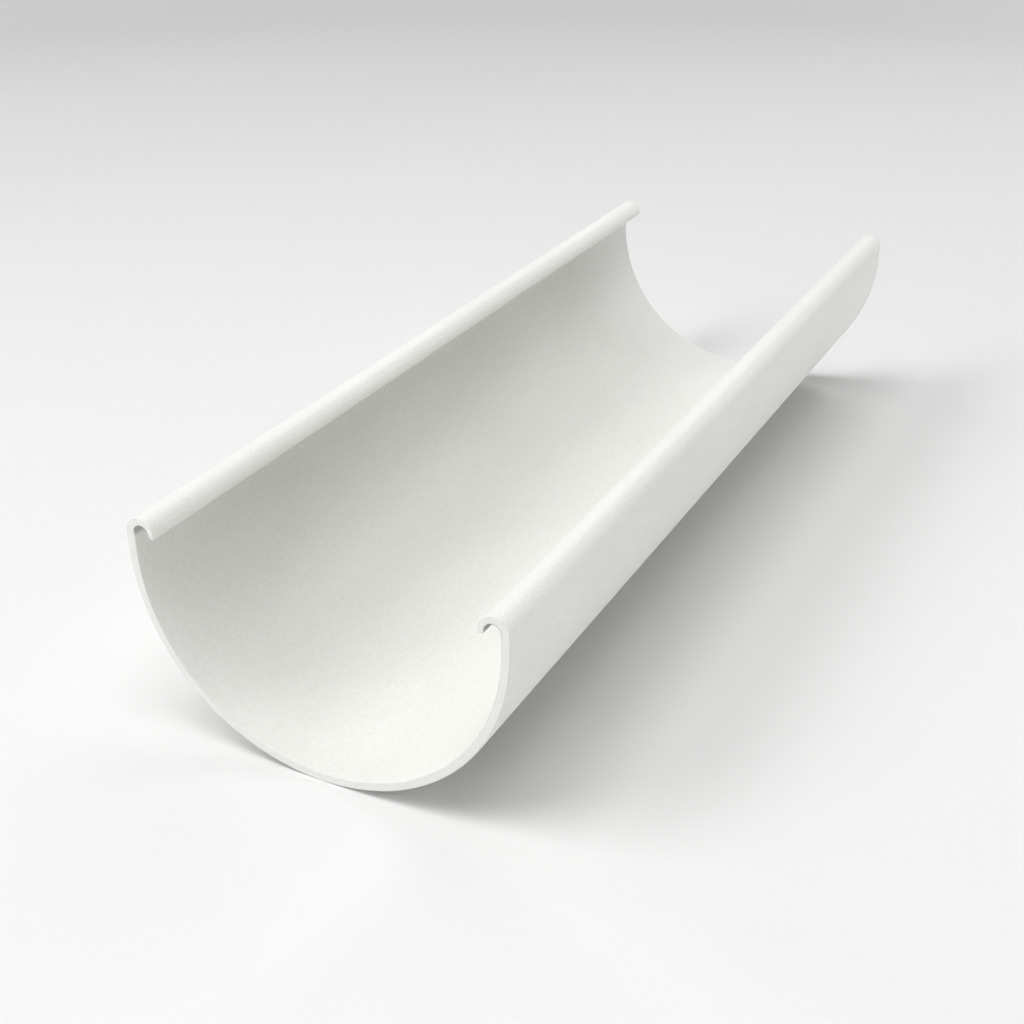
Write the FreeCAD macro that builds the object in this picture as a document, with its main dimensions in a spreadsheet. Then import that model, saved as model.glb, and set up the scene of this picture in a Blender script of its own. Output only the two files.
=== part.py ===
import FreeCAD, Part
import math
import os
from enum import IntEnum

import Sketcher

# Half-round gutter section, extruded in one piece: a half-round channel whose walls rise
# upright at both sides and end in a bead, rolled inwards over a hollow groove. Both ends are
# sawn square.
#
# Axes: X across the gutter, Y along it, Z up. The origin is on the underside, at the lowest
# line of the half-round and half way along. All sizes are in millimetres.

# ---------------------------------------------------------------- driving sizes

SIZES = {
    "outer_width": 125.0,        # over the two side walls, the size such a gutter is sold by
    "section_length": 357.0,     # from one sawn end to the other
    "wall": 2.8,                 # the half-round and the side walls
    "side_rise": 5.9,            # upright stretch of wall, from the half-round to the bead
    "bead_width": 9.6,           # from the wall's outer face to the hook's outer face
    "hook_wall": 2.0,            # the bead's free limb, which hangs on the channel side
    "hook_straight": 0.2,        # upright stretch of the hook's face in the groove
    "hook_groove_round": 1.0,    # rounding of the hook's end towards the groove
    "hook_channel_round": 0.4,   # rounding of the hook's end towards the channel
    "end_edge_round": 0.3,       # the eased edges of the two sawn ends
}

NODE = "gutter_section"


class Side(IntEnum):
    """The two halves of the section, as the sign of their X."""
    RIGHT = 1
    LEFT = -1


class Point(IntEnum):
    """The points of a sketched edge, as Sketcher numbers them."""
    START = 1
    END = 2
    CENTRE = 3


class Fixed(IntEnum):
    """The sketch's own origin and upright axis, as Sketcher numbers them."""
    ORIGIN = -1
    UPRIGHT_AXIS = -2


class Towards:
    """Directions in the right half of the section, as angles from the +X axis."""
    OUTSIDE = 0.0
    MIDDLE = math.pi
    FLOOR = 3 * math.pi / 2
    OUTSIDE_AGAIN = 2 * math.pi


# ---------------------------------------------------------------- the size sheet

def make_size_sheet(doc):
    """A sheet with one named cell for each driving size."""
    sheet = doc.addObject("Spreadsheet::Sheet", "Sizes")
    for row, (name, value) in enumerate(SIZES.items(), start=1):
        sheet.set(f"A{row}", name)
        sheet.set(f"B{row}", str(value))
        sheet.setAlias(f"B{row}", name)
    doc.recompute()
    return sheet


# ---------------------------------------------------------------- sketch helpers

class Profile:
    """A sketch with edges given for the right-hand side and mirrored for the left."""

    def __init__(self, sketch):
        self.sketch = sketch

    def line(self, side, first, last):
        """A line between two (x, z) points. Gives its index and its first and last points."""
        ends = [FreeCAD.Vector(side * x, z, 0) for x, z in (first, last)]
        index = self.sketch.addGeometry(Part.LineSegment(*ends), False)
        return index, Point.START, Point.END

    def arc(self, side, centre, radius, first, last):
        """An arc between two directions. Gives its index and its first and last points."""
        if side == Side.LEFT:
            first, last = Towards.MIDDLE - first, Towards.MIDDLE - last
        circle = Part.Circle(FreeCAD.Vector(side * centre[0], centre[1], 0),
                             FreeCAD.Vector(0, 0, 1), radius)
        arc = Part.ArcOfCircle(circle, min(first, last), max(first, last))
        index = self.sketch.addGeometry(arc, False)
        if first < last:
            return index, Point.START, Point.END
        return index, Point.END, Point.START

    def relate(self, *definition):
        """A constraint with no size, such as tangent or horizontal."""
        self.sketch.addConstraint(Sketcher.Constraint(*definition))

    def size(self, name, expression, *definition):
        """A constraint whose size follows the sheet."""
        index = self.sketch.addConstraint(Sketcher.Constraint(*definition))
        self.sketch.renameConstraint(index, name)
        self.sketch.setExpression(f"Constraints.{name}", expression)


# ---------------------------------------------------------------- the section

def draw_half_round(profile, sizes):
    """The outer and inner arcs of the half-round, about one centre above the origin."""
    radius = sizes.outer_width / 2
    lower_half = (Towards.MIDDLE, Towards.OUTSIDE_AGAIN)
    outer = profile.arc(Side.RIGHT, (0, radius), radius, *lower_half)[0]
    inner = profile.arc(Side.RIGHT, (0, radius), radius - sizes.wall, *lower_half)[0]
    profile.relate("PointOnObject", outer, Point.CENTRE, Fixed.UPRIGHT_AXIS)
    profile.relate("Coincident", outer, Point.CENTRE, inner, Point.CENTRE)
    profile.size("centre_height", "Sizes.outer_width / 2",
                 "DistanceY", Fixed.ORIGIN, Point.START, outer, Point.CENTRE, radius)
    profile.size("outer_radius", "Sizes.outer_width / 2", "Radius", outer, radius)
    profile.size("inner_radius", "Sizes.outer_width / 2 - Sizes.wall",
                 "Radius", inner, radius - sizes.wall)
    return outer, inner


def draw_side(profile, sizes, side, outer, inner):
    """One upright wall with its bead, from the outer arc round the hook to the inner arc."""
    name = side.name.lower()
    radius = sizes.outer_width / 2
    top = radius + sizes.side_rise
    wall_inside = radius - sizes.wall
    bead_radius = sizes.bead_width / 2
    bead_centre = (radius - bead_radius, top)
    groove_radius = (sizes.bead_width - sizes.wall - sizes.hook_wall) / 2
    groove_centre = (wall_inside - groove_radius, top)
    hook_inside = wall_inside - 2 * groove_radius
    hook_end = top - sizes.hook_straight - sizes.hook_groove_round

    # The rounding towards the channel touches the bead from inside and the hook's flat end.
    round_drop = top - hook_end - sizes.hook_channel_round
    round_reach = math.sqrt((bead_radius - sizes.hook_channel_round) ** 2 - round_drop ** 2)
    round_centre = (bead_centre[0] - round_reach, top - round_drop)
    round_turn = math.atan2(round_drop, round_reach)
    groove_round_centre = (hook_inside - sizes.hook_groove_round, top - sizes.hook_straight)

    wall_outer = profile.line(side, (radius, radius), (radius, top))
    bead = profile.arc(side, bead_centre, bead_radius,
                       Towards.OUTSIDE, Towards.MIDDLE + round_turn)
    channel_round = profile.arc(side, round_centre, sizes.hook_channel_round,
                                Towards.MIDDLE + round_turn, Towards.FLOOR)
    hook_bottom = profile.line(side, (round_centre[0], hook_end),
                               (groove_round_centre[0], hook_end))
    groove_round = profile.arc(side, groove_round_centre, sizes.hook_groove_round,
                               Towards.FLOOR, Towards.OUTSIDE_AGAIN)
    hook_face = profile.line(side, (hook_inside, top - sizes.hook_straight),
                             (hook_inside, top))
    groove = profile.arc(side, groove_centre, groove_radius,
                         Towards.MIDDLE, Towards.OUTSIDE)
    wall_inner = profile.line(side, (wall_inside, top), (wall_inside, radius))

    outline = [wall_outer, bead, channel_round, hook_bottom,
               groove_round, hook_face, groove, wall_inner]
    for (edge, _, edge_last), (following, following_first, _) in zip(outline, outline[1:]):
        profile.relate("Tangent", edge, edge_last, following, following_first)
    arc_end = Point.END if side == Side.RIGHT else Point.START
    profile.relate("Tangent", outer, arc_end, wall_outer[0], Point.START)
    profile.relate("Tangent", wall_inner[0], Point.END, inner, arc_end)

    for edge in (wall_outer, hook_face, wall_inner):
        profile.relate("Vertical", edge[0])
    profile.relate("Horizontal", hook_bottom[0])
    profile.relate("Horizontal", wall_outer[0], Point.END, wall_inner[0], Point.START)
    for size, edge in (("side_rise", wall_outer[0]), ("hook_straight", hook_face[0])):
        profile.size(f"{name}_{size}", f"Sizes.{size}", "DistanceY",
                     edge, Point.START, edge, Point.END, sizes.getPropertyByName(size))
    profile.size(f"{name}_bead_radius", "Sizes.bead_width / 2", "Radius", bead[0], bead_radius)
    profile.size(f"{name}_groove_radius",
                 "(Sizes.bead_width - Sizes.wall - Sizes.hook_wall) / 2",
                 "Radius", groove[0], groove_radius)
    profile.size(f"{name}_channel_round", "Sizes.hook_channel_round",
                 "Radius", channel_round[0], sizes.hook_channel_round)
    profile.size(f"{name}_groove_round", "Sizes.hook_groove_round",
                 "Radius", groove_round[0], sizes.hook_groove_round)


def draw_section(body, sizes):
    """The closed outline of the gutter's section, on the upright plane across the gutter."""
    sketch = body.newObject("Sketcher::SketchObject", "SectionProfile")
    plane = next(datum for datum in body.Origin.OriginFeatures if datum.Role == "XZ_Plane")
    sketch.AttachmentSupport = [(plane, "")]
    sketch.MapMode = "FlatFace"
    profile = Profile(sketch)
    outer, inner = draw_half_round(profile, sizes)
    for side in Side:
        draw_side(profile, sizes, side, outer, inner)
    return sketch


# ---------------------------------------------------------------- the gutter

def sawn_faces(shape):
    """Names of the two flat faces that look along the gutter."""
    names = []
    for number, face in enumerate(shape.Faces, start=1):
        if isinstance(face.Surface, Part.Plane) and round(abs(face.Surface.Axis.y)) == 1:
            names.append(f"Face{number}")
    return names


def make_gutter(doc, sizes):
    """The section extruded to its length both ways from the middle, with eased sawn ends."""
    body = doc.addObject("PartDesign::Body", "Gutter")
    body.Label = NODE
    sketch = draw_section(body, sizes)
    doc.recompute()

    extrusion = body.newObject("PartDesign::Pad", "Extrusion")
    extrusion.Profile = sketch
    extrusion.SideType = "Symmetric"
    extrusion.setExpression("Length", "Sizes.section_length")
    doc.recompute()

    eased_ends = body.newObject("PartDesign::Fillet", "EasedEnds")
    eased_ends.Base = (extrusion, sawn_faces(extrusion.Shape))
    eased_ends.setExpression("Radius", "Sizes.end_edge_round")
    body.Tip = eased_ends
    doc.recompute()
    return body


# ---------------------------------------------------------------- checks and export

def check_document(doc, bodies):
    """Stops with a plain message if any object failed or any body has no sound solid."""
    for item in doc.Objects:
        if {"Invalid", "Error"} & set(item.State):
            raise RuntimeError(f"{item.Name} failed to compute: {item.State}")
    for body in bodies:
        if body.Shape.isNull() or not body.Shape.isValid() or len(body.Shape.Solids) != 1:
            raise RuntimeError(f"{body.Label} is not one sound solid")


def main():
    doc = FreeCAD.newDocument("GutterSection")
    sizes = make_size_sheet(doc)
    bodies = [make_gutter(doc, sizes)]
    check_document(doc, bodies)
    os.makedirs("parts", exist_ok=True)
    for body in bodies:
        body.Shape.exportStep(f"parts/{body.Label}.step")
        box = body.Shape.optimalBoundingBox()
        print(f"{body.Label}: {box.XLength:.2f} x {box.YLength:.2f} x {box.ZLength:.2f} mm, "
              f"{body.Shape.Volume / 1000:.2f} cm3")


main()
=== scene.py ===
"""Looks of a short length of white half-round gutter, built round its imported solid.

All is in metres in the solid's own frame: X across the gutter, Y along it with the near end at the
lowest Y, and Z up from its lowest line.  The gutter is one extruded piece, so there is one skin.
"""

import logging
import math
from dataclasses import dataclass
from enum import Enum

import bpy
import numpy as np
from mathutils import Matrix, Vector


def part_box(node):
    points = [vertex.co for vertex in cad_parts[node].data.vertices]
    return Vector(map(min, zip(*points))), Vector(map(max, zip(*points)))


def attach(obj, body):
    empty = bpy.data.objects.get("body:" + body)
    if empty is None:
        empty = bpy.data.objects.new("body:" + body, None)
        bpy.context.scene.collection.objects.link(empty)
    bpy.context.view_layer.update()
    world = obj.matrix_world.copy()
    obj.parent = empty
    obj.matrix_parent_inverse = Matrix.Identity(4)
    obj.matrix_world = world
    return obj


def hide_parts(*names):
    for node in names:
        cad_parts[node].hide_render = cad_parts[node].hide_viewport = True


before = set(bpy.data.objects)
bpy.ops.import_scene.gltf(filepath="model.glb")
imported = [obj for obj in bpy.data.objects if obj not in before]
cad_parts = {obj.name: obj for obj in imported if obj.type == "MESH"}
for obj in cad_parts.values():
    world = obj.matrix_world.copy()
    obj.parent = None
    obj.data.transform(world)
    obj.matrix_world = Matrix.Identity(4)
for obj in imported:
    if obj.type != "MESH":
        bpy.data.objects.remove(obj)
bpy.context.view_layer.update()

NODE = "gutter_section"
GROOVE_SHADE_DEPTH = "groove_shade_depth"
BODY = "root"
MM = 0.001
PLASTIC_IOR = 1.5
NOISE_SPAN = (0.3, 0.7)  # nearly all of a noise pattern's values lie between these

log = logging.getLogger("gutter")

Colour = tuple[float, float, float]
Place = tuple[float, float, float]


class Patch(Enum):
    """The two finishes on the gutter, each by its place among the mesh's materials."""

    EXTRUDED = 0
    SAWN = 1


# ---------------------------------------------------------------------------------------------
# Outline of the section
# ---------------------------------------------------------------------------------------------


@dataclass(frozen=True)
class Run:
    """A run of outline points with the unit normals that point out of the plastic.

    Attributes:
        points: X and Z of each point, one row each.
        normals: the outward direction at each point, one row each.
    """

    points: np.ndarray
    normals: np.ndarray

    def mirrored(self) -> "Run":
        """The same run on the other side of the middle plane."""
        return Run(self.points * (-1.0, 1.0), self.normals * (-1.0, 1.0))

    def part(self, which: slice) -> "Run":
        """The points that the slice picks, with their normals."""
        return Run(self.points[which], self.normals[which])


def arc(centre: tuple[float, float], radius: float, start: float, stop: float, steps: int,
        outward: float = 1.0) -> Run:
    """A circular arc: centre plus radius times (cosine, sine) of an angle that runs evenly.

    Args:
        centre: X and Z of the circle's centre.
        radius: radius of the circle.
        start: first angle, from the X axis towards Z.
        stop: last angle.
        steps: number of equal steps between them.
        outward: 1 where the plastic is inside the circle, -1 where it is outside.

    Returns:
        The run, with steps + 1 points.
    """
    angle = np.linspace(start, stop, steps + 1)
    spoke = np.stack([np.cos(angle), np.sin(angle)], axis=1)
    return Run(np.asarray(centre) + radius * spoke, outward * spoke)


def straight(start: tuple[float, float], stop: tuple[float, float], steps: int,
             normal: tuple[float, float]) -> Run:
    """A straight run: start plus an evenly growing share of the way to stop.

    Args:
        start: X and Z of the first point.
        stop: X and Z of the last point.
        steps: number of equal steps between them.
        normal: outward direction, the same all along.

    Returns:
        The run, with steps + 1 points.
    """
    share = np.linspace(0.0, 1.0, steps + 1)[:, None]
    points = np.asarray(start) * (1.0 - share) + np.asarray(stop) * share
    return Run(points, np.tile(np.asarray(normal, float), (steps + 1, 1)))


def joined(*runs: Run) -> Run:
    """Runs set end to end, each one's first point left out because the last run ended there.

    Args:
        runs: the runs, in order.

    Returns:
        One run.
    """
    rest = [run.part(slice(1, None)) for run in runs[1:]]
    return Run(np.concatenate([runs[0].points] + [run.points for run in rest]),
               np.concatenate([runs[0].normals] + [run.normals for run in rest]))


@dataclass(frozen=True)
class Section:
    """Cross-section of the gutter: half-round, upright walls and beads rolled inwards.

    Attributes:
        width: outside width over the walls.
        height: height over the beads.
        wall: wall thickness.
        bead_width: width of each bead across its round top.
        hook_wall: thickness of the bead's free limb.
        hook_straight: short flat of the limb's groove side.
        groove_round: rounding of the limb's end on the groove side.
        channel_round: rounding of the limb's end on the channel side.
        round_steps: steps round a quarter of the half-round.
        wall_steps: steps up the straight wall.
        bead_steps: steps round the bead's outside, before the limb's end.
        groove_steps: steps round the groove.
        tip_steps: steps round the limb's channel rounding.
    """

    width: float
    height: float
    wall: float = 2.8 * MM
    bead_width: float = 9.6 * MM
    hook_wall: float = 2.0 * MM
    hook_straight: float = 0.2 * MM
    groove_round: float = 1.0 * MM
    channel_round: float = 0.4 * MM
    round_steps: int = 72
    wall_steps: int = 4
    bead_steps: int = 34
    groove_steps: int = 32
    tip_steps: int = 7

    @property
    def radius(self) -> float:
        """Outside radius of the half-round."""
        return self.width / 2

    @property
    def bead_radius(self) -> float:
        """Outside radius of the bead."""
        return self.bead_width / 2

    @property
    def wall_top(self) -> float:
        """Height at which the straight wall turns into the bead."""
        return self.height - self.bead_radius

    @property
    def tip_height(self) -> float:
        """Height of the flat at the limb's end."""
        return self.wall_top - self.hook_straight - self.groove_round

    def outside(self) -> Run:
        """Right half of the outer side, from the lowest line over the bead to the limb's end.

        The half-round and the bead are arcs, the wall is straight, and the small rounding at the
        limb's end touches the bead from inside, so that all of it is smooth.

        Returns:
            The run.
        """
        radius, top, tip = self.radius, self.wall_top, self.channel_round
        bead = (radius - self.bead_radius, top)
        reach = self.bead_radius - tip
        drop = top - self.tip_height - tip
        turned = math.pi + math.asin(drop / reach)
        corner = (bead[0] - math.sqrt(reach**2 - drop**2), self.tip_height + tip)
        return joined(
            arc((0.0, radius), radius, -math.pi / 2, 0.0, self.round_steps),
            straight((radius, radius), (radius, top), self.wall_steps, (1.0, 0.0)),
            arc(bead, self.bead_radius, 0.0, turned, self.bead_steps),
            arc(corner, tip, turned, 1.5 * math.pi, self.tip_steps),
        )

    def inside(self) -> Run:
        """Right half of the channel side, from the lowest line round the groove to the limb's end.

        It has as many points as the outer side, and each one faces its fellow across the wall.

        Returns:
            The run.
        """
        radius, top = self.radius, self.wall_top
        inner = radius - self.wall
        face = radius - self.bead_width + self.hook_wall
        groove = (inner - face) / 2
        low = top - self.hook_straight
        end_steps = self.bead_steps + self.tip_steps - self.groove_steps - 1
        return joined(
            arc((0.0, radius), inner, -math.pi / 2, 0.0, self.round_steps, -1.0),
            straight((inner, radius), (inner, top), self.wall_steps, (-1.0, 0.0)),
            arc((face + groove, top), groove, 0.0, math.pi, self.groove_steps, -1.0),
            straight((face, top), (face, low), 1, (1.0, 0.0)),
            arc((face - self.groove_round, low), self.groove_round, 0.0, -math.pi / 2, end_steps),
        )

    def ring(self) -> Run:
        """The closed outline, counter-clockwise as seen from the near end, from the lowest point.

        Returns:
            The run; its last point is next to its first.
        """
        outer, inner = self.outside(), self.inside()
        back, rest = slice(None, None, -1), slice(1, None)
        runs = (outer, inner.part(back), inner.mirrored().part(rest),
                outer.mirrored().part(rest).part(back))
        return Run(np.concatenate([run.points for run in runs]),
                   np.concatenate([run.normals for run in runs]))

    def groove_shade_depth(self) -> np.ndarray:
        """How deep each point of the ring lies in a bead's groove: 0 outside it, 1 at its top.

        The depth is the square root of the share of the way up from the limb's end to the groove's
        top.  It sets how much painted shade each point gets.

        Returns:
            One depth for each point of the ring.
        """
        height = self.inside().points[:, 1] - self.tip_height
        depth = np.sqrt(np.clip(height / height.max(), 0.0, 1.0))
        bare = np.zeros_like(depth)
        return np.concatenate([bare, depth[::-1], depth[1:], bare[1:]])

    def pairs(self) -> tuple[np.ndarray, np.ndarray]:
        """Places in the ring of the points that face each other across the wall.

        Returns:
            Outer and inner places, both in order from the left limb's end to the right one's.
        """
        last = len(self.outside().points) - 1
        step = np.arange(1, last + 1)
        whole = np.arange(0, last + 1)
        outer = np.concatenate([4 * last + 2 - step[::-1], whole])
        inner = np.concatenate([2 * last + 1 + step[::-1], 2 * last + 1 - whole])
        return outer, inner


# ---------------------------------------------------------------------------------------------
# Finishes
# ---------------------------------------------------------------------------------------------


class Nodes:
    """A material's or the world's node tree, with short calls to add and link nodes.

    Attributes:
        COLOUR_A: place of a colour Mix node's first colour among its inputs.
        COLOUR_B: place of its second colour.
        COLOUR_OUT: place of its result among its outputs.
    """

    COLOUR_A = 6
    COLOUR_B = 7
    COLOUR_OUT = 2

    def __init__(self, owner: bpy.types.ID) -> None:
        """Empties the owner's node tree.

        Args:
            owner: the material or world.
        """
        owner.use_nodes = True
        self.tree = owner.node_tree
        self.tree.nodes.clear()

    def add(self, kind: str, inputs: dict | None = None, **settings: object) -> bpy.types.Node:
        """Adds a node.

        Args:
            kind: the node's type name after "ShaderNode".
            inputs: a value, or another node's output socket, for each named or numbered input.
            settings: the node's own settings.

        Returns:
            The node.
        """
        node = self.tree.nodes.new("ShaderNode" + kind)
        for name, value in settings.items():
            setattr(node, name, value)
        for name, value in (inputs or {}).items():
            if isinstance(value, bpy.types.NodeSocket):
                self.tree.links.new(value, node.inputs[name])
            else:
                node.inputs[name].default_value = value
        return node

    def between(self, value: bpy.types.NodeSocket, low: float, high: float,
                start: float = 0.0, stop: float = 1.0) -> bpy.types.NodeSocket:
        """Carries a pattern's value from the range start..stop to low..high, held at both ends.

        Args:
            value: the pattern's output.
            low: result at start.
            high: result at stop.
            start: value that gives low.
            stop: value that gives high.

        Returns:
            The result's socket.
        """
        node = self.add("MapRange", {"Value": value, "From Min": start, "From Max": stop,
                                     "To Min": low, "To Max": high})
        return node.outputs["Result"]

    def blend(self, share: bpy.types.NodeSocket, low: Colour | bpy.types.NodeSocket,
              high: Colour) -> bpy.types.NodeSocket:
        """Mixes two colours.

        Args:
            share: how much of high there is, from 0 to 1.
            low: first colour, or the socket that gives it.
            high: second colour.

        Returns:
            The mixed colour's socket.
        """
        first = low if isinstance(low, bpy.types.NodeSocket) else (*low, 1.0)
        inputs = {"Factor": share, self.COLOUR_A: first, self.COLOUR_B: (*high, 1.0)}
        return self.add("Mix", inputs, data_type="RGBA").outputs[self.COLOUR_OUT]

    def added(self, one: bpy.types.NodeSocket, two: bpy.types.NodeSocket, part: float,
              span: tuple[float, float]) -> bpy.types.NodeSocket:
        """Adds up two noise patterns, the first with the given part of the whole.

        Args:
            one: first pattern.
            two: second pattern.
            part: share of the first pattern; the second has the rest.
            span: values of the patterns that give nothing and their whole share.

        Returns:
            The sum's socket, from 0 to 1.
        """
        return self.plus(self.between(one, 0.0, part, *span),
                         self.between(two, 0.0, 1.0 - part, *span))

    def plastic(self, colour: bpy.types.NodeSocket, roughness: bpy.types.NodeSocket,
                relief: bpy.types.NodeSocket, strength: float, depth: float) -> None:
        """Ends the tree in a plastic shader with a relief.

        Args:
            colour: its colour.
            roughness: its roughness.
            relief: height of the relief, from 0 to 1.
            strength: strength of the relief.
            depth: depth of the relief, in metres.
        """
        bump = self.add("Bump", {"Strength": strength, "Distance": depth, "Height": relief})
        shader = self.add("BsdfPrincipled", {
            "Base Color": colour, "Roughness": roughness, "IOR": PLASTIC_IOR,
            "Normal": bump.outputs["Normal"]})
        self.add("OutputMaterial", {"Surface": shader.outputs["BSDF"]})

    def times(self, one: bpy.types.NodeSocket, two: bpy.types.NodeSocket) -> bpy.types.NodeSocket:
        """The product of two values."""
        return self.add("Math", {0: one, 1: two}, operation="MULTIPLY").outputs[0]

    def plus(self, one: bpy.types.NodeSocket, two: bpy.types.NodeSocket) -> bpy.types.NodeSocket:
        """The sum of two values."""
        return self.add("Math", {0: one, 1: two}, operation="ADD").outputs[0]

    def seen(self) -> bpy.types.NodeSocket:
        """Tells the rays that see from the rays that light.

        Returns:
            A socket: 1 for rays from the eye, from gloss or through glass, and 0 for the others.
        """
        path = self.add("LightPath").outputs
        either = self.plus(path["Is Camera Ray"], path["Is Glossy Ray"])
        return self.between(self.plus(either, path["Is Transmission Ray"]), 0.0, 1.0)

    def noise(self, where: bpy.types.NodeSocket, stretch: Place,
              detail: float) -> bpy.types.NodeSocket:
        """A noise pattern whose grains have a given number per metre along each axis.

        Args:
            where: coordinates in metres.
            stretch: grains per metre along X, Y and Z.
            detail: how many finer layers are added.

        Returns:
            The pattern's value, from 0 to 1 about 0.5.
        """
        placed = self.add("Mapping", {"Vector": where, "Scale": stretch})
        grain = self.add("TexNoise", {"Vector": placed.outputs["Vector"], "Scale": 1.0,
                                      "Detail": detail, "Roughness": 0.5})
        return grain.outputs["Fac"]


@dataclass(frozen=True)
class ExtrudedPlastic:
    """Satin white rigid plastic as it leaves the die, with faint die lines and a fine grain.

    Attributes:
        name: name of the material.
        pale: colour at its lightest.
        deep: colour at its darkest; the two are close, and grain and clouds go between them.
        painted_groove_shade: painted shade at the top of the beads' grooves.
        roughness: roughness of the shiniest and of the dullest places.
        specks: grains per metre of the fine speckle.
        clouds: grains per metre of the broad unevenness, across the gutter.
        cloud_length: how many times longer its grains are along Y.
        die_lines: lines per metre across the drawing direction.
        drawn_out: their grains per metre along Y.
        colour_part: share of the speckle in the colour; the clouds have the rest.
        relief_part: share of the speckle in the relief; the die lines have the rest.
        dull_span: sums of clouds and die lines that are dullest and shiniest.
        strength: strength of the relief.
        bump: depth of the relief.
    """

    name: str = "white_plastic_extruded"
    pale: Colour = (0.836, 0.836, 0.805)
    deep: Colour = (0.744, 0.744, 0.716)
    # Painted shade: the dark grey that the tops of the beads' grooves are darkened towards.
    painted_groove_shade: Colour = (0.36, 0.36, 0.35)
    roughness: tuple[float, float] = (0.40, 0.50)
    specks: float = 1150.0
    clouds: float = 38.0
    cloud_length: float = 3.0
    die_lines: float = 900.0
    drawn_out: float = 2.0
    colour_part: float = 0.65
    relief_part: float = 0.6
    dull_span: tuple[float, float] = (0.7, 1.3)
    strength: float = 0.4
    bump: float = 0.02 * MM

    def material(self) -> bpy.types.Material:
        """Makes the material.

        The colour goes between deep and pale by the speckle and the clouds added up, and from there
        towards a painted shade by the depth in a groove, darkest at the groove's top.  The relief
        is the speckle's grain and the die lines, which are noise drawn out along Y.

        Returns:
            The material.
        """
        made = bpy.data.materials.new(self.name)
        nodes = Nodes(made)
        where = nodes.add("TexCoord").outputs["Object"]
        speck = nodes.noise(where, (self.specks,) * 3, detail=1.0)
        cloud = nodes.noise(where, (self.clouds, self.clouds / self.cloud_length, self.clouds),
                            detail=3.0)
        line = nodes.noise(where, (self.die_lines, self.drawn_out, self.die_lines), detail=2.0)
        colour = nodes.blend(nodes.added(speck, cloud, self.colour_part, NOISE_SPAN),
                             self.deep, self.pale)
        # Depth in a bead's groove, which sets the share of painted shade.
        depth = nodes.add("Attribute", attribute_name=GROOVE_SHADE_DEPTH).outputs["Fac"]
        shiny, dull = self.roughness
        roughness = nodes.between(nodes.plus(cloud, line), dull, shiny, *self.dull_span)
        relief = nodes.added(speck, line, self.relief_part, (0.0, 1.0))
        # Painted shade: the colour darkens towards the top of each groove by its depth there.
        nodes.plastic(nodes.blend(depth, colour, self.painted_groove_shade), roughness, relief,
                      self.strength, self.bump)
        return made


@dataclass(frozen=True)
class SawnPlastic:
    """The same plastic where a saw has cut it: duller, with fine slanting score marks.

    Attributes:
        name: name of the material.
        pale: colour between the score marks.
        deep: colour in them.
        roughness: roughness between the marks and in them.
        marks: score marks per metre.
        drawn_out: their grains per metre along the mark and along Y.
        slant: how far the marks lean from level, in radians.
        specks: grains per metre of the fine speckle.
        mark_part: share of the marks in the colour; the speckle has the rest.
        strength: strength of the relief.
        bump: depth of the relief.
    """

    name: str = "white_plastic_sawn"
    pale: Colour = (0.920, 0.920, 0.890)
    deep: Colour = (0.865, 0.865, 0.837)
    roughness: tuple[float, float] = (0.55, 0.7)
    marks: float = 1700.0
    drawn_out: tuple[float, float] = (55.0, 400.0)
    slant: float = 0.42
    specks: float = 1900.0
    mark_part: float = 0.7
    strength: float = 0.4
    bump: float = 0.04 * MM

    def material(self) -> bpy.types.Material:
        """Makes the material.

        The marks are noise drawn out along a line that leans from level in the plane of the cut.

        Returns:
            The material.
        """
        made = bpy.data.materials.new(self.name)
        nodes = Nodes(made)
        where = nodes.add("TexCoord").outputs["Object"]
        leaned = nodes.add("Mapping", {"Vector": where, "Rotation": (0.0, self.slant, 0.0)})
        mark = nodes.noise(leaned.outputs["Vector"], (*self.drawn_out, self.marks), detail=3.0)
        speck = nodes.noise(where, (self.specks,) * 3, detail=1.0)
        share = nodes.added(mark, speck, self.mark_part, NOISE_SPAN)
        shiny, dull = self.roughness
        nodes.plastic(nodes.blend(share, self.deep, self.pale),
                      nodes.between(mark, dull, shiny, *NOISE_SPAN), share,
                      self.strength, self.bump)
        return made


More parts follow.
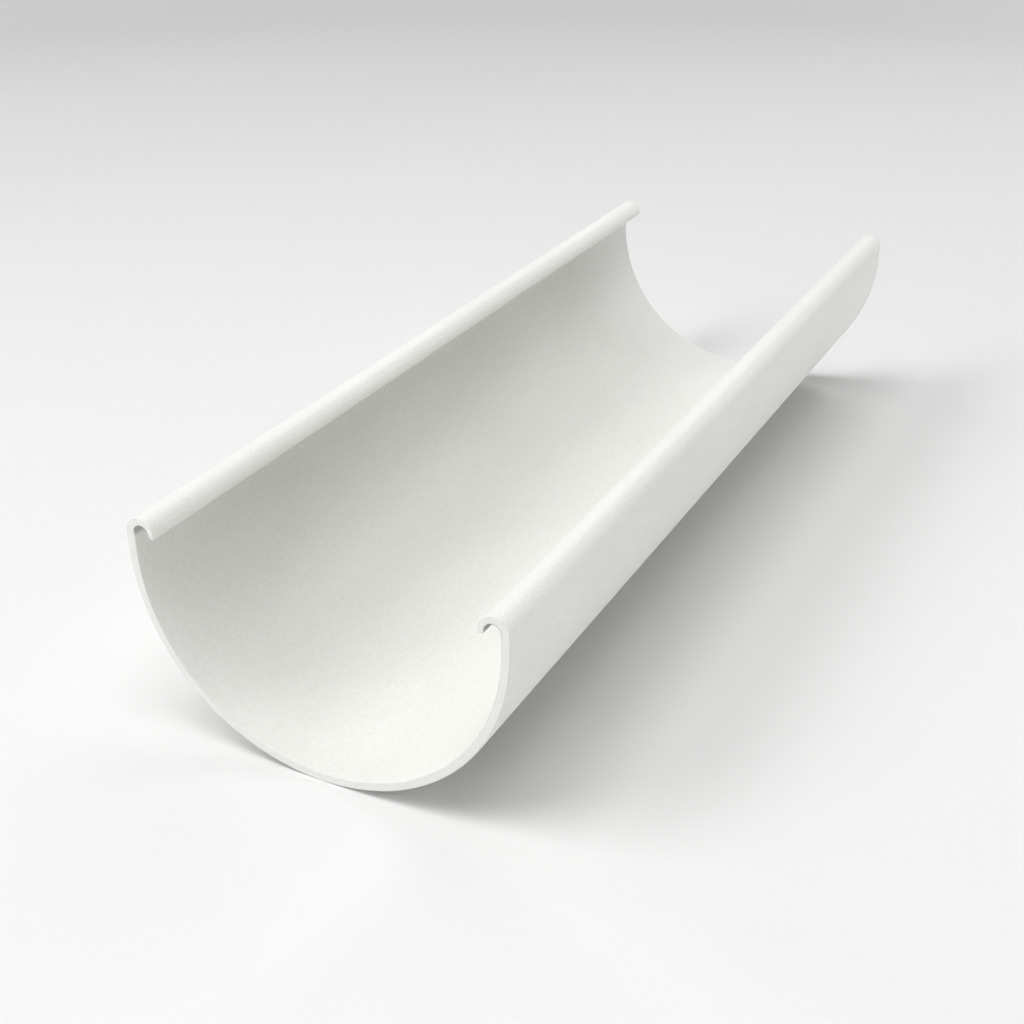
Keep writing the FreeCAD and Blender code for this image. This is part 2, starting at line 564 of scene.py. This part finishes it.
@dataclass(frozen=True)
class StudioPaper:
    """Matt pale paper on the studio floor, a little paler to the right, which fades far away.

    Attributes:
        name: name of the material.
        left: colour at the left, where the painted light is lowest.
        right: colour at the right, where the painted light is highest.
        span: places along the change of colour at which it is left and right.
        lean: how far the change of colour is turned from X, in radians.
        away: colour that it fades to.
        fade: distances from the object between which it fades.
        roughness: roughness of the paper.
    """

    name: str = "studio_paper"
    left: Colour = (0.715, 0.715, 0.715)
    right: Colour = (0.9, 0.9, 0.9)
    span: tuple[float, float] = (-0.6, 0.6)
    lean: float = 0.30
    away: Colour = (0.9, 0.9, 0.9)
    fade: tuple[float, float] = (1.1, 2.1)
    roughness: float = 0.9

    def material(self) -> bpy.types.Material:
        """Makes the material.

        The colour runs from left to right, nearly along X, as painted light that is paler to the
        right.  Far away the eye sees the plain colour of the surroundings instead, so that the
        floor has no edge; the light on it stays as it is.

        Returns:
            The material.
        """
        made = bpy.data.materials.new(self.name)
        nodes = Nodes(made)
        where = nodes.add("TexCoord").outputs["Object"]
        turned = nodes.add("Mapping", {"Vector": where, "Rotation": (0.0, 0.0, self.lean)})
        across = nodes.add("SeparateXYZ", {"Vector": turned.outputs["Vector"]}).outputs["X"]
        # Painted light: the floor's colour grows paler to the right.
        colour = nodes.blend(nodes.between(across, 0.0, 1.0, *self.span), self.left, self.right)
        paper = nodes.add("BsdfPrincipled", {"Base Color": colour, "Roughness": self.roughness})
        plain = nodes.add("Emission", {"Color": (*self.away, 1.0), "Strength": 1.0})
        reach = nodes.add("VectorMath", {0: where}, operation="LENGTH").outputs["Value"]
        share = nodes.times(nodes.between(reach, 0.0, 1.0, *self.fade), nodes.seen())
        shader = nodes.add("MixShader", {0: share, 1: paper.outputs["BSDF"],
                                         2: plain.outputs["Emission"]})
        nodes.add("OutputMaterial", {"Surface": shader.outputs["Shader"]})
        return made


# ---------------------------------------------------------------------------------------------
# The gutter
# ---------------------------------------------------------------------------------------------


def put_in_scene(name: str, points: np.ndarray, faces: np.ndarray) -> bpy.types.Object:
    """Makes an object at the origin from whole arrays, with smooth faces.

    Args:
        name: name of the object and its mesh.
        points: X, Y and Z of each vertex, one row each.
        faces: four vertex numbers a row, counter-clockwise from outside.

    Returns:
        The object.
    """
    mesh = bpy.data.meshes.new(name)
    mesh.from_pydata(points.tolist(), [], faces.tolist())
    mesh.polygons.foreach_set("use_smooth", np.ones(len(faces), bool))
    mesh.update()
    made = bpy.data.objects.new(name, mesh)
    bpy.context.scene.collection.objects.link(made)
    return made


@dataclass(frozen=True)
class Gutter:
    """The gutter section: its outline carried along Y, with eased edges at both sawn ends.

    Attributes:
        section: the cross-section.
        length: length between the sawn faces.
        ease: radius of the eased edges.
        length_steps: steps along the straight length.
        ease_steps: steps round an eased edge.
        skin: finish of the extruded surface.
        cut: finish of the sawn faces.
    """

    section: Section
    length: float
    ease: float = 0.3 * MM
    length_steps: int = 44
    ease_steps: int = 5
    skin: ExtrudedPlastic = ExtrudedPlastic()
    cut: SawnPlastic = SawnPlastic()

    def rows(self) -> tuple[np.ndarray, np.ndarray, np.ndarray]:
        """Place, inset and lean of every row of the skin, from the near end to the far one.

        On an eased edge an angle runs over a quarter turn: the row stands in from the sawn face by
        the radius times one less its sine, and inside the outline by the radius times one less its
        cosine, and the normal leans to the end by the angle.  On the straight length the rows are
        evenly spaced.

        Returns:
            Y, inset and leaning angle of each row.
        """
        turn = np.linspace(math.pi / 2, 0.0, self.ease_steps + 1)
        half = self.length / 2
        edge = self.ease * (1.0 - np.sin(turn)) - half
        inset = self.ease * (1.0 - np.cos(turn))
        middle = np.linspace(self.ease - half, half - self.ease, self.length_steps + 1)[1:-1]
        still = np.zeros_like(middle)
        return (np.concatenate([edge, middle, -edge[::-1]]),
                np.concatenate([inset, still, inset[::-1]]),
                np.concatenate([-turn, still, turn[::-1]]))

    def shell(self) -> tuple[np.ndarray, np.ndarray, np.ndarray, int]:
        """Vertices, normals and faces of the closed skin.

        Each row is the outline moved in along its own normals by the row's inset, at the row's Y.
        Neighbouring rows are joined by four-sided faces, and each sawn end is closed by faces that
        join the points which face each other across the wall.

        Returns:
            Vertices, their normals, the faces, and how many of the faces are not in the sawn ends.
        """
        ring = self.section.ring()
        along, inset, lean = self.rows()
        rows, count = len(along), len(ring.points)
        flat = ring.points[None] - inset[:, None, None] * ring.normals[None]
        points = np.empty((rows, count, 3))
        points[..., 0], points[..., 1], points[..., 2] = flat[..., 0], along[:, None], flat[..., 1]
        normals = np.empty_like(points)
        normals[..., 0::2] = np.cos(lean)[:, None, None] * ring.normals[None]
        normals[..., 1] = np.sin(lean)[:, None]
        here = np.arange(rows * count).reshape(rows, count)
        beside = np.roll(here, -1, axis=1)
        sides = np.stack([here[:-1], here[1:], beside[1:], beside[:-1]], axis=-1).reshape(-1, 4)
        outer, inner = self.section.pairs()
        near = np.stack([outer[:-1], outer[1:], inner[1:], inner[:-1]], axis=-1)
        far = near[:, ::-1] + here[-1, 0]
        faces = np.concatenate([sides, near, far])
        return points.reshape(-1, 3), normals.reshape(-1, 3), faces, len(sides)

    def build(self) -> bpy.types.Object:
        """Builds and dresses the skin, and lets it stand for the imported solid.

        Returns:
            The finished piece.
        """
        points, normals, faces, sides = self.shell()
        piece = put_in_scene("gutter_skin", points, faces)
        mesh = piece.data
        mesh.materials.append(self.skin.material())
        mesh.materials.append(self.cut.material())
        patch = np.full(len(faces), Patch.EXTRUDED.value)
        patch[sides:] = Patch.SAWN.value
        mesh.polygons.foreach_set("material_index", patch)
        mesh.normals_split_custom_set_from_vertices(normals)
        # Depth in the grooves, which sets the painted shade on each point.
        groove_shade_depth = np.tile(self.section.groove_shade_depth(), len(self.rows()[0]))
        mesh.attributes.new(GROOVE_SHADE_DEPTH, "FLOAT", "POINT").data.foreach_set("value", groove_shade_depth)
        self.lay_flat(mesh, points)
        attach(piece, BODY)
        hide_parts(NODE)
        return piece

    def lay_flat(self, mesh: bpy.types.Mesh, points: np.ndarray) -> None:
        """Gives the skin a UV map in which X is the way along the gutter and Y the way round it.

        The way round is the distance along the outline from the lowest point, as a share of the
        whole.  The seam is at the lowest line, where the last faces end at 1.

        Args:
            mesh: the skin's mesh.
            points: its vertices.
        """
        ring = self.section.ring().points
        strides = np.linalg.norm(np.roll(ring, -1, axis=0) - ring, axis=1)
        around = np.concatenate([[0.0], np.cumsum(strides)]) / strides.sum()
        corner = np.empty(len(mesh.loops), int)
        mesh.loops.foreach_get("vertex_index", corner)
        corner = corner.reshape(-1, 4)
        place = corner % len(ring)
        wraps = (place.max(axis=1) - place.min(axis=1) > len(ring) // 2)[:, None]
        place = np.where(wraps & (place == 0), len(ring), place)
        flat = np.stack([points[corner, 1] / self.length + 0.5, around[place]], axis=-1)
        mesh.uv_layers.new(name="laid_flat").data.foreach_set("uv", flat.ravel())


# ---------------------------------------------------------------------------------------------
# Studio
# ---------------------------------------------------------------------------------------------


@dataclass(frozen=True)
class Floor:
    """A wide level sheet under the object.

    Attributes:
        reach: distance from the middle to each edge.
        steps: faces along each edge.
        drop: gap under the object.
        paper: finish of the sheet.
    """

    reach: float = 4.0
    steps: int = 8
    drop: float = 0.02 * MM
    paper: StudioPaper = StudioPaper()

    def build(self) -> bpy.types.Object:
        """Builds the sheet: a level square grid, X and Y both running evenly over its reach.

        Returns:
            The floor.
        """
        line = np.linspace(-self.reach, self.reach, self.steps + 1)
        across, along = np.meshgrid(line, line)
        level = np.full_like(across, -self.drop)
        points = np.stack([across, along, level], axis=-1).reshape(-1, 3)
        here = np.arange(len(points)).reshape(across.shape)
        faces = np.stack([here[:-1, :-1], here[:-1, 1:], here[1:, 1:], here[1:, :-1]], axis=-1)
        floor = put_in_scene("studio_floor", points, faces.reshape(-1, 4))
        floor.data.materials.append(self.paper.material())
        return floor


@dataclass(frozen=True)
class Softbox:
    """A studio lamp with a soft oblong face that points at the object.

    Attributes:
        name: name of the lamp.
        azimuth: direction it stands in, in degrees from -Y towards +X.
        height: its height above the horizon, in degrees.
        level: light that it gives a surface square to it, where 1 shows a colour as it is written.
        size: width and height of its face.
        distance: distance from the middle of the object.
    """

    name: str
    azimuth: float
    height: float
    level: float
    size: tuple[float, float] = (0.6, 0.6)
    distance: float = 1.8

    def build(self, centre: np.ndarray) -> bpy.types.Object:
        """Builds the lamp.

        A small flat lamp of power P lights a surface square to it, at a distance d on its axis,
        by P over pi d squared, and a white surface that gets pi looks like 1.

        Args:
            centre: the point that it shines at.

        Returns:
            The lamp.
        """
        turn, tilt = math.radians(self.azimuth), math.radians(self.height)
        back = np.array([math.sin(turn) * math.cos(tilt), -math.cos(turn) * math.cos(tilt),
                         math.sin(tilt)])
        lamp = bpy.data.lights.new(self.name, "AREA")
        lamp.shape = "RECTANGLE"
        lamp.size, lamp.size_y = self.size
        lamp.energy = self.level * math.pi * math.pi * self.distance**2
        made = bpy.data.objects.new(self.name, lamp)
        made.location = centre + back * self.distance
        made.rotation_euler = (math.pi / 2 - tilt, 0.0, turn)
        made.visible_camera = False
        bpy.context.scene.collection.objects.link(made)
        return made


@dataclass(frozen=True)
class Surroundings:
    """The even light of a pale room all round.

    Attributes:
        level: strength of its light, where 1 shows a colour as it is written.
        shown: strength at which it is seen.
        colour: its colour.
    """

    level: float = 0.01
    shown: float = 0.9
    colour: Colour = (1.0, 1.0, 1.0)

    def build(self) -> bpy.types.World:
        """Makes the world, which lights evenly from all sides.

        Returns:
            The world, set as the scene's.
        """
        world = bpy.data.worlds.new("pale_room")
        nodes = Nodes(world)
        strength = nodes.between(nodes.seen(), self.level, self.shown)
        light = nodes.add("Background", {"Color": (*self.colour, 1.0), "Strength": strength})
        nodes.add("OutputWorld", {"Surface": light.outputs["Background"]})
        bpy.context.scene.world = world
        return world


@dataclass(frozen=True)
class Viewpoint:
    """The camera.

    Attributes:
        place: where it stands.
        heading: how far it is turned from looking along Y, in radians, to the left.
        dip: how far it looks down from level, in radians.
        lens: focal length, in mm.
        sensor: width of the sensor, in mm.
        clip: nearest and farthest distance that it sees.
    """

    place: Place = (0.20996, -0.46334, 0.27640)
    heading: float = 0.4763
    dip: float = 0.4910
    lens: float = 52.40
    sensor: float = 36.0
    clip: tuple[float, float] = (0.01, 50.0)

    def build(self) -> bpy.types.Object:
        """Makes the camera and sets it as the scene's.

        Returns:
            The camera.
        """
        data = bpy.data.cameras.new("viewpoint")
        data.sensor_width = self.sensor
        data.lens = self.lens
        data.clip_start, data.clip_end = self.clip
        made = bpy.data.objects.new("viewpoint", data)
        made.location = self.place
        made.rotation_euler = (math.pi / 2 - self.dip, 0.0, self.heading)
        bpy.context.scene.collection.objects.link(made)
        bpy.context.scene.camera = made
        return made


@dataclass(frozen=True)
class Studio:
    """Floor, lamps, surroundings and camera.

    Attributes:
        floor: the sheet under the object.
        lamps: the lamps, all pointed at the object's middle.
        surroundings: the even light all round.
        viewpoint: the camera.
    """

    floor: Floor = Floor()
    lamps: tuple[Softbox, ...] = (
        Softbox("front_top", azimuth=345.0, height=68.0, level=0.287),
        Softbox("front_low", azimuth=345.0, height=20.0, level=0.075, size=(1.0, 1.0),
                distance=3.0),
        Softbox("key_low", azimuth=325.0, height=36.0, level=0.216),
        Softbox("key_side", azimuth=305.0, height=36.0, level=0.069),
        Softbox("key_high", azimuth=305.0, height=52.0, level=0.200),
        Softbox("left_fill", azimuth=265.0, height=36.0, level=0.102),
        Softbox("left_back", azimuth=215.0, height=45.0, level=0.094, size=(0.8, 0.8)),
        Softbox("back_high", azimuth=180.0, height=45.0, level=0.158, size=(0.8, 0.8)),
        Softbox("right_back", azimuth=140.0, height=20.0, level=0.146, size=(0.8, 0.8)),
        Softbox("right_strip", azimuth=90.0, height=3.5, level=0.297, size=(3.3, 0.2),
                distance=3.0),
        Softbox("right_top", azimuth=50.0, height=70.0, level=0.227, size=(0.8, 0.8)),
        Softbox("overhead", azimuth=0.0, height=89.0, level=0.005, size=(0.8, 0.8)),
    )
    surroundings: Surroundings = Surroundings()
    viewpoint: Viewpoint = Viewpoint()

    def build(self) -> None:
        """Builds the studio round the object and sets how colours are shown."""
        low, high = (np.array(corner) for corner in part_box(NODE))
        self.floor.build()
        for lamp in self.lamps:
            lamp.build((low + high) / 2)
            log.info("lamp %s at level %.3f", lamp.name, lamp.level)
        self.surroundings.build()
        self.viewpoint.build()
        bpy.context.scene.view_settings.view_transform = "Standard"


def main() -> None:
    """Builds the gutter and the studio round it."""
    logging.basicConfig(level=logging.INFO, format="%(name)s: %(message)s")
    low, high = (np.array(corner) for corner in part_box(NODE))
    width, length, _ = high - low
    piece = Gutter(Section(width=width, height=high[2]), length).build()
    log.info("%s: %d faces, %.1f x %.1f x %.1f mm", piece.name, len(piece.data.polygons),
             *(size / MM for size in piece.dimensions))
    Studio().build()


if __name__ == "__main__":
    main()
